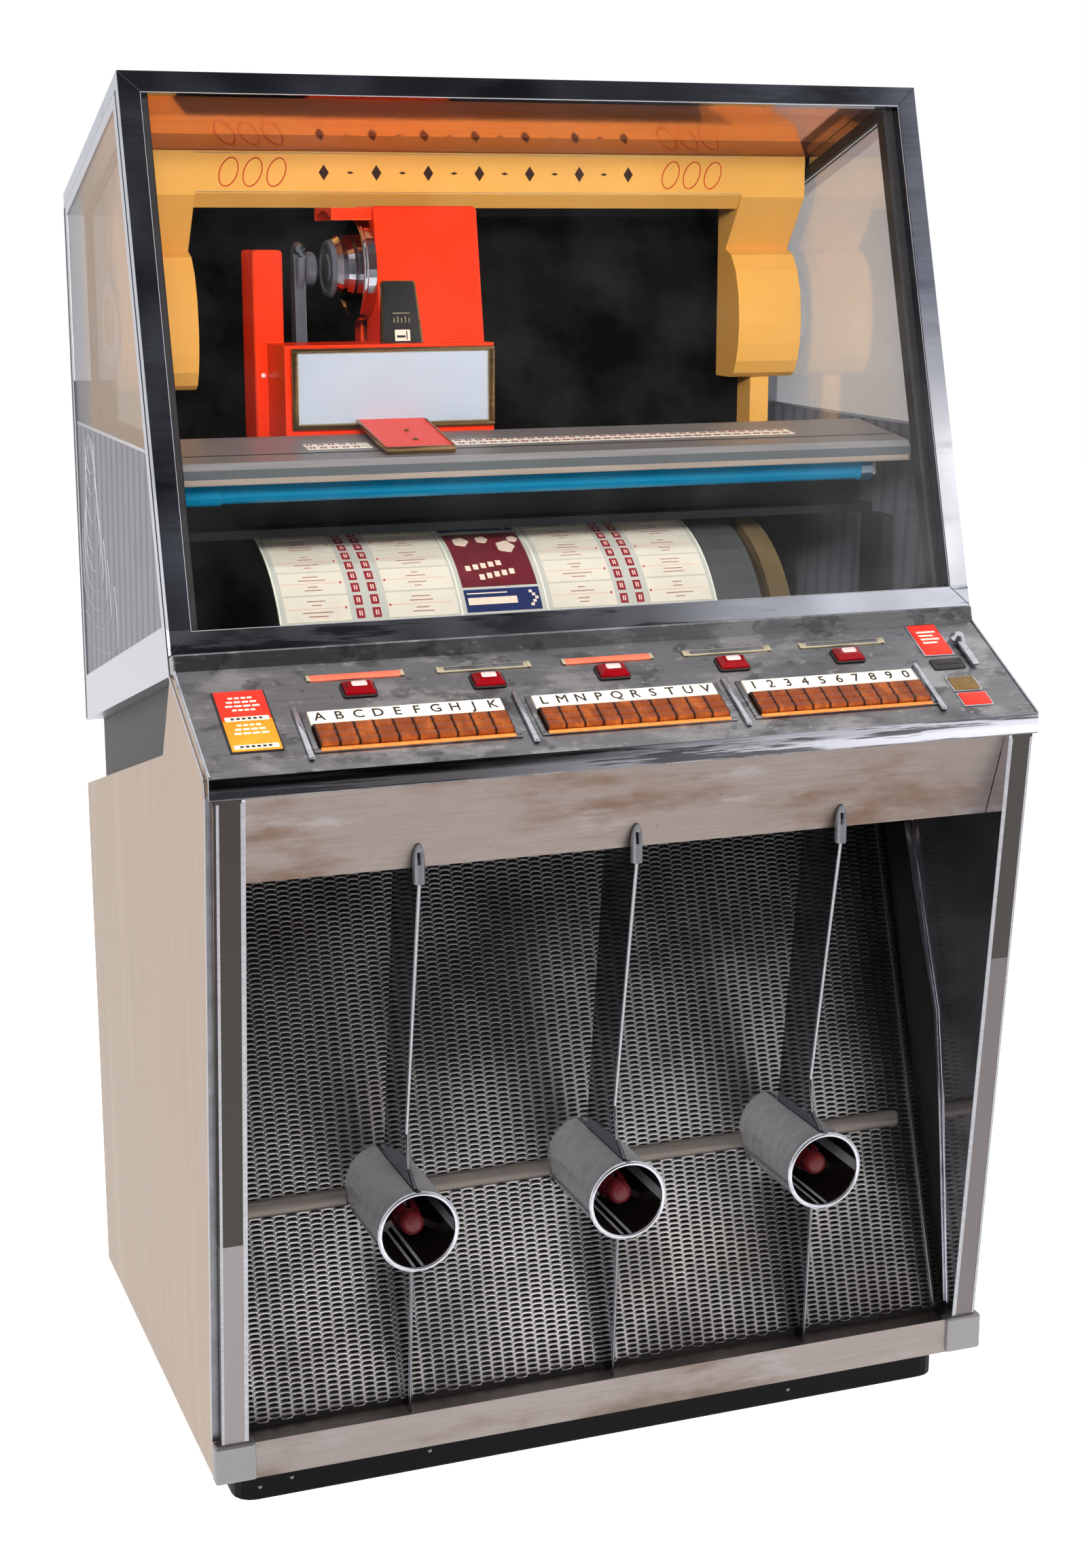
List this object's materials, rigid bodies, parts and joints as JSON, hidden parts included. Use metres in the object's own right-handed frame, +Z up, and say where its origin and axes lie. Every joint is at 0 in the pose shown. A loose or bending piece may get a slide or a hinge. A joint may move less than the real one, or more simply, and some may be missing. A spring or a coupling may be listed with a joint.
{
  "type": "jukebox",
  "caption": "Floor-standing jukebox with a glazed tilting lid, a travelling record mechanism, a title-card drum, a sloping selector deck and three tail-light tubes.",
  "frame": {"origin": "centre of the bounding box's foot, on the floor", "axes": "+Z up, -Y the front with the selector deck, +X to the right of someone facing it"},
  "size_m": [0.884, 0.654, 1.438],
  "materials": {
    "black_plinth": "black paint, satin",
    "cream_laminate": "cream laminate with a fine vertical grain",
    "grey_chassis": "plain grey chassis",
    "speaker_board": "brown board and black cone",
    "cast_frame": "brushed and cast grey metal",
    "brushed_fascia": "aged brushed metal, pinkish grey",
    "silver_mesh": "silver expanded mesh over black",
    "chrome_tubes": "satin tube, polished fins and bright rims",
    "chrome_deck": "chrome, dulled by age",
    "charcoal_canopy": "charcoal paint with pale metal window frames",
    "clear_glass": "clear",
    "chrome_lid": "polished chrome",
    "yellow_header": "yellow-orange, satin",
    "grey_mechanism": "grey paint",
    "teal_lamp": "teal tube",
    "red_cover": "red-orange gloss",
    "chrome_turntable": "turned and polished",
    "dark_arm": "dark grey casting",
    "card_drum": "cream cards with dark red labels",
    "chrome_lever": "polished",
    "amber_keys": "translucent amber-brown",
    "ruby_buttons": "cut ruby red"
  },
  "bodies": {
    "cabinet": {"plinth": "black_plinth", "cabinet_shell": "cream_laminate", "amplifier": "grey_chassis", "loudspeaker": "speaker_board", "front_frame": "cast_frame", "fascia_panel": "brushed_fascia", "grille_panel": "silver_mesh", "tail_tube_left": "chrome_tubes", "tail_tube_center": "chrome_tubes", "tail_tube_right": "chrome_tubes", "selector_deck": "chrome_deck", "canopy_housing": "charcoal_canopy", "side_glass_left": "clear_glass", "side_glass_right": "clear_glass", "header_arch": "yellow_header", "mechanism_bed": "grey_mechanism", "lamp_tube": "teal_lamp"},
    "lid": {"lid_frame": "chrome_lid", "front_glass": "clear_glass"},
    "record_carriage": {"carriage": "grey_mechanism", "mechanism_cover": "red_cover"},
    "record_turntable": {"turntable": "chrome_turntable"},
    "pickup_arm": {"tone_arm": "dark_arm"},
    "card_drum": {"title_drum": "card_drum"},
    "return_lever": {"coin_lever": "chrome_lever"},
    "key_A": {"key_A": "amber_keys"},
    "key_B": {"key_B": "amber_keys"},
    "key_C": {"key_C": "amber_keys"},
    "key_D": {"key_D": "amber_keys"},
    "key_E": {"key_E": "amber_keys"},
    "key_F": {"key_F": "amber_keys"},
    "key_G": {"key_G": "amber_keys"},
    "key_H": {"key_H": "amber_keys"},
    "key_J": {"key_J": "amber_keys"},
    "key_K": {"key_K": "amber_keys"},
    "key_L": {"key_L": "amber_keys"},
    "key_M": {"key_M": "amber_keys"},
    "key_N": {"key_N": "amber_keys"},
    "key_P": {"key_P": "amber_keys"},
    "key_Q": {"key_Q": "amber_keys"},
    "key_R": {"key_R": "amber_keys"},
    "key_S": {"key_S": "amber_keys"},
    "key_T": {"key_T": "amber_keys"},
    "key_U": {"key_U": "amber_keys"},
    "key_V": {"key_V": "amber_keys"},
    "key_1": {"key_1": "amber_keys"},
    "key_2": {"key_2": "amber_keys"},
    "key_3": {"key_3": "amber_keys"},
    "key_4": {"key_4": "amber_keys"},
    "key_5": {"key_5": "amber_keys"},
    "key_6": {"key_6": "amber_keys"},
    "key_7": {"key_7": "amber_keys"},
    "key_8": {"key_8": "amber_keys"},
    "key_9": {"key_9": "amber_keys"},
    "key_0": {"key_0": "amber_keys"},
    "category_button_1": {"category_button_1": "ruby_buttons"},
    "category_button_2": {"category_button_2": "ruby_buttons"},
    "category_button_3": {"category_button_3": "ruby_buttons"},
    "category_button_4": {"category_button_4": "ruby_buttons"},
    "category_button_5": {"category_button_5": "ruby_buttons"}
  },
  "joints": [
    {"name": "lid_hinge", "type": "hinge", "parent": "cabinet", "child": "lid", "pos_m": [0, 0.317, 1.30951], "axis": [-1, 0, 0], "range_deg": [0, 45]},
    {"name": "carriage_travel", "type": "slide", "parent": "cabinet", "child": "record_carriage", "axis": [1, 0, 0], "range_m": [-0.05, 0.4]},
    {"name": "turntable_spin", "type": "hinge", "parent": "record_carriage", "child": "record_turntable", "pos_m": [-0.152, 0.124, 1.24447], "axis": [1, 0, 0], "continuous": true},
    {"name": "arm_swing", "type": "hinge", "parent": "record_carriage", "child": "pickup_arm", "pos_m": [-0.225, 0.124, 1.028], "axis": [-1, 0, 0], "range_deg": [0, 14]},
    {"name": "drum_turn", "type": "hinge", "parent": "cabinet", "child": "card_drum", "pos_m": [0, 0.085, 0.809], "axis": [1, 0, 0], "continuous": true},
    {"name": "return_lever_turn", "type": "hinge", "parent": "cabinet", "child": "return_lever", "pos_m": [0.404, -0.21711, 0.85557], "axis": [0, -0.4745, 0.8803], "range_deg": [0, 25], "stiffness_Nm_per_rad": 0.06, "springref_deg": -20.05},
    {"name": "key_A_press", "type": "slide", "parent": "cabinet", "child": "key_A", "axis": [0, 0.4745, -0.8803], "range_m": [0, 0.004], "stiffness_N_per_m": 200, "springref_m": -0.004},
    {"name": "key_B_press", "type": "slide", "parent": "cabinet", "child": "key_B", "axis": [0, 0.4745, -0.8803], "range_m": [0, 0.004], "stiffness_N_per_m": 200, "springref_m": -0.004},
    {"name": "key_C_press", "type": "slide", "parent": "cabinet", "child": "key_C", "axis": [0, 0.4745, -0.8803], "range_m": [0, 0.004], "stiffness_N_per_m": 200, "springref_m": -0.004},
    {"name": "key_D_press", "type": "slide", "parent": "cabinet", "child": "key_D", "axis": [0, 0.4745, -0.8803], "range_m": [0, 0.004], "stiffness_N_per_m": 200, "springref_m": -0.004},
    {"name": "key_E_press", "type": "slide", "parent": "cabinet", "child": "key_E", "axis": [0, 0.4745, -0.8803], "range_m": [0, 0.004], "stiffness_N_per_m": 200, "springref_m": -0.004},
    {"name": "key_F_press", "type": "slide", "parent": "cabinet", "child": "key_F", "axis": [0, 0.4745, -0.8803], "range_m": [0, 0.004], "stiffness_N_per_m": 200, "springref_m": -0.004},
    {"name": "key_G_press", "type": "slide", "parent": "cabinet", "child": "key_G", "axis": [0, 0.4745, -0.8803], "range_m": [0, 0.004], "stiffness_N_per_m": 200, "springref_m": -0.004},
    {"name": "key_H_press", "type": "slide", "parent": "cabinet", "child": "key_H", "axis": [0, 0.4745, -0.8803], "range_m": [0, 0.004], "stiffness_N_per_m": 200, "springref_m": -0.004},
    {"name": "key_J_press", "type": "slide", "parent": "cabinet", "child": "key_J", "axis": [0, 0.4745, -0.8803], "range_m": [0, 0.004], "stiffness_N_per_m": 200, "springref_m": -0.004},
    {"name": "key_K_press", "type": "slide", "parent": "cabinet", "child": "key_K", "axis": [0, 0.4745, -0.8803], "range_m": [0, 0.004], "stiffness_N_per_m": 200, "springref_m": -0.004},
    {"name": "key_L_press", "type": "slide", "parent": "cabinet", "child": "key_L", "axis": [0, 0.4745, -0.8803], "range_m": [0, 0.004], "stiffness_N_per_m": 200, "springref_m": -0.004},
    {"name": "key_M_press", "type": "slide", "parent": "cabinet", "child": "key_M", "axis": [0, 0.4745, -0.8803], "range_m": [0, 0.004], "stiffness_N_per_m": 200, "springref_m": -0.004},
    {"name": "key_N_press", "type": "slide", "parent": "cabinet", "child": "key_N", "axis": [0, 0.4745, -0.8803], "range_m": [0, 0.004], "stiffness_N_per_m": 200, "springref_m": -0.004},
    {"name": "key_P_press", "type": "slide", "parent": "cabinet", "child": "key_P", "axis": [0, 0.4745, -0.8803], "range_m": [0, 0.004], "stiffness_N_per_m": 200, "springref_m": -0.004},
    {"name": "key_Q_press", "type": "slide", "parent": "cabinet", "child": "key_Q", "axis": [0, 0.4745, -0.8803], "range_m": [0, 0.004], "stiffness_N_per_m": 200, "springref_m": -0.004},
    {"name": "key_R_press", "type": "slide", "parent": "cabinet", "child": "key_R", "axis": [0, 0.4745, -0.8803], "range_m": [0, 0.004], "stiffness_N_per_m": 200, "springref_m": -0.004},
    {"name": "key_S_press", "type": "slide", "parent": "cabinet", "child": "key_S", "axis": [0, 0.4745, -0.8803], "range_m": [0, 0.004], "stiffness_N_per_m": 200, "springref_m": -0.004},
    {"name": "key_T_press", "type": "slide", "parent": "cabinet", "child": "key_T", "axis": [0, 0.4745, -0.8803], "range_m": [0, 0.004], "stiffness_N_per_m": 200, "springref_m": -0.004},
    {"name": "key_U_press", "type": "slide", "parent": "cabinet", "child": "key_U", "axis": [0, 0.4745, -0.8803], "range_m": [0, 0.004], "stiffness_N_per_m": 200, "springref_m": -0.004},
    {"name": "key_V_press", "type": "slide", "parent": "cabinet", "child": "key_V", "axis": [0, 0.4745, -0.8803], "range_m": [0, 0.004], "stiffness_N_per_m": 200, "springref_m": -0.004},
    {"name": "key_1_press", "type": "slide", "parent": "cabinet", "child": "key_1", "axis": [0, 0.4745, -0.8803], "range_m": [0, 0.004], "stiffness_N_per_m": 200, "springref_m": -0.004},
    {"name": "key_2_press", "type": "slide", "parent": "cabinet", "child": "key_2", "axis": [0, 0.4745, -0.8803], "range_m": [0, 0.004], "stiffness_N_per_m": 200, "springref_m": -0.004},
    {"name": "key_3_press", "type": "slide", "parent": "cabinet", "child": "key_3", "axis": [0, 0.4745, -0.8803], "range_m": [0, 0.004], "stiffness_N_per_m": 200, "springref_m": -0.004},
    {"name": "key_4_press", "type": "slide", "parent": "cabinet", "child": "key_4", "axis": [0, 0.4745, -0.8803], "range_m": [0, 0.004], "stiffness_N_per_m": 200, "springref_m": -0.004},
    {"name": "key_5_press", "type": "slide", "parent": "cabinet", "child": "key_5", "axis": [0, 0.4745, -0.8803], "range_m": [0, 0.004], "stiffness_N_per_m": 200, "springref_m": -0.004},
    {"name": "key_6_press", "type": "slide", "parent": "cabinet", "child": "key_6", "axis": [0, 0.4745, -0.8803], "range_m": [0, 0.004], "stiffness_N_per_m": 200, "springref_m": -0.004},
    {"name": "key_7_press", "type": "slide", "parent": "cabinet", "child": "key_7", "axis": [0, 0.4745, -0.8803], "range_m": [0, 0.004], "stiffness_N_per_m": 200, "springref_m": -0.004},
    {"name": "key_8_press", "type": "slide", "parent": "cabinet", "child": "key_8", "axis": [0, 0.4745, -0.8803], "range_m": [0, 0.004], "stiffness_N_per_m": 200, "springref_m": -0.004},
    {"name": "key_9_press", "type": "slide", "parent": "cabinet", "child": "key_9", "axis": [0, 0.4745, -0.8803], "range_m": [0, 0.004], "stiffness_N_per_m": 200, "springref_m": -0.004},
    {"name": "key_0_press", "type": "slide", "parent": "cabinet", "child": "key_0", "axis": [0, 0.4745, -0.8803], "range_m": [0, 0.004], "stiffness_N_per_m": 200, "springref_m": -0.004},
    {"name": "category_button_1_press", "type": "slide", "parent": "cabinet", "child": "category_button_1", "axis": [0, 0.4745, -0.8803], "range_m": [0, 0.004], "stiffness_N_per_m": 200, "springref_m": -0.004},
    {"name": "category_button_2_press", "type": "slide", "parent": "cabinet", "child": "category_button_2", "axis": [0, 0.4745, -0.8803], "range_m": [0, 0.004], "stiffness_N_per_m": 200, "springref_m": -0.004},
    {"name": "category_button_3_press", "type": "slide", "parent": "cabinet", "child": "category_button_3", "axis": [0, 0.4745, -0.8803], "range_m": [0, 0.004], "stiffness_N_per_m": 200, "springref_m": -0.004},
    {"name": "category_button_4_press", "type": "slide", "parent": "cabinet", "child": "category_button_4", "axis": [0, 0.4745, -0.8803], "range_m": [0, 0.004], "stiffness_N_per_m": 200, "springref_m": -0.004},
    {"name": "category_button_5_press", "type": "slide", "parent": "cabinet", "child": "category_button_5", "axis": [0, 0.4745, -0.8803], "range_m": [0, 0.004], "stiffness_N_per_m": 200, "springref_m": -0.004}
  ]
}
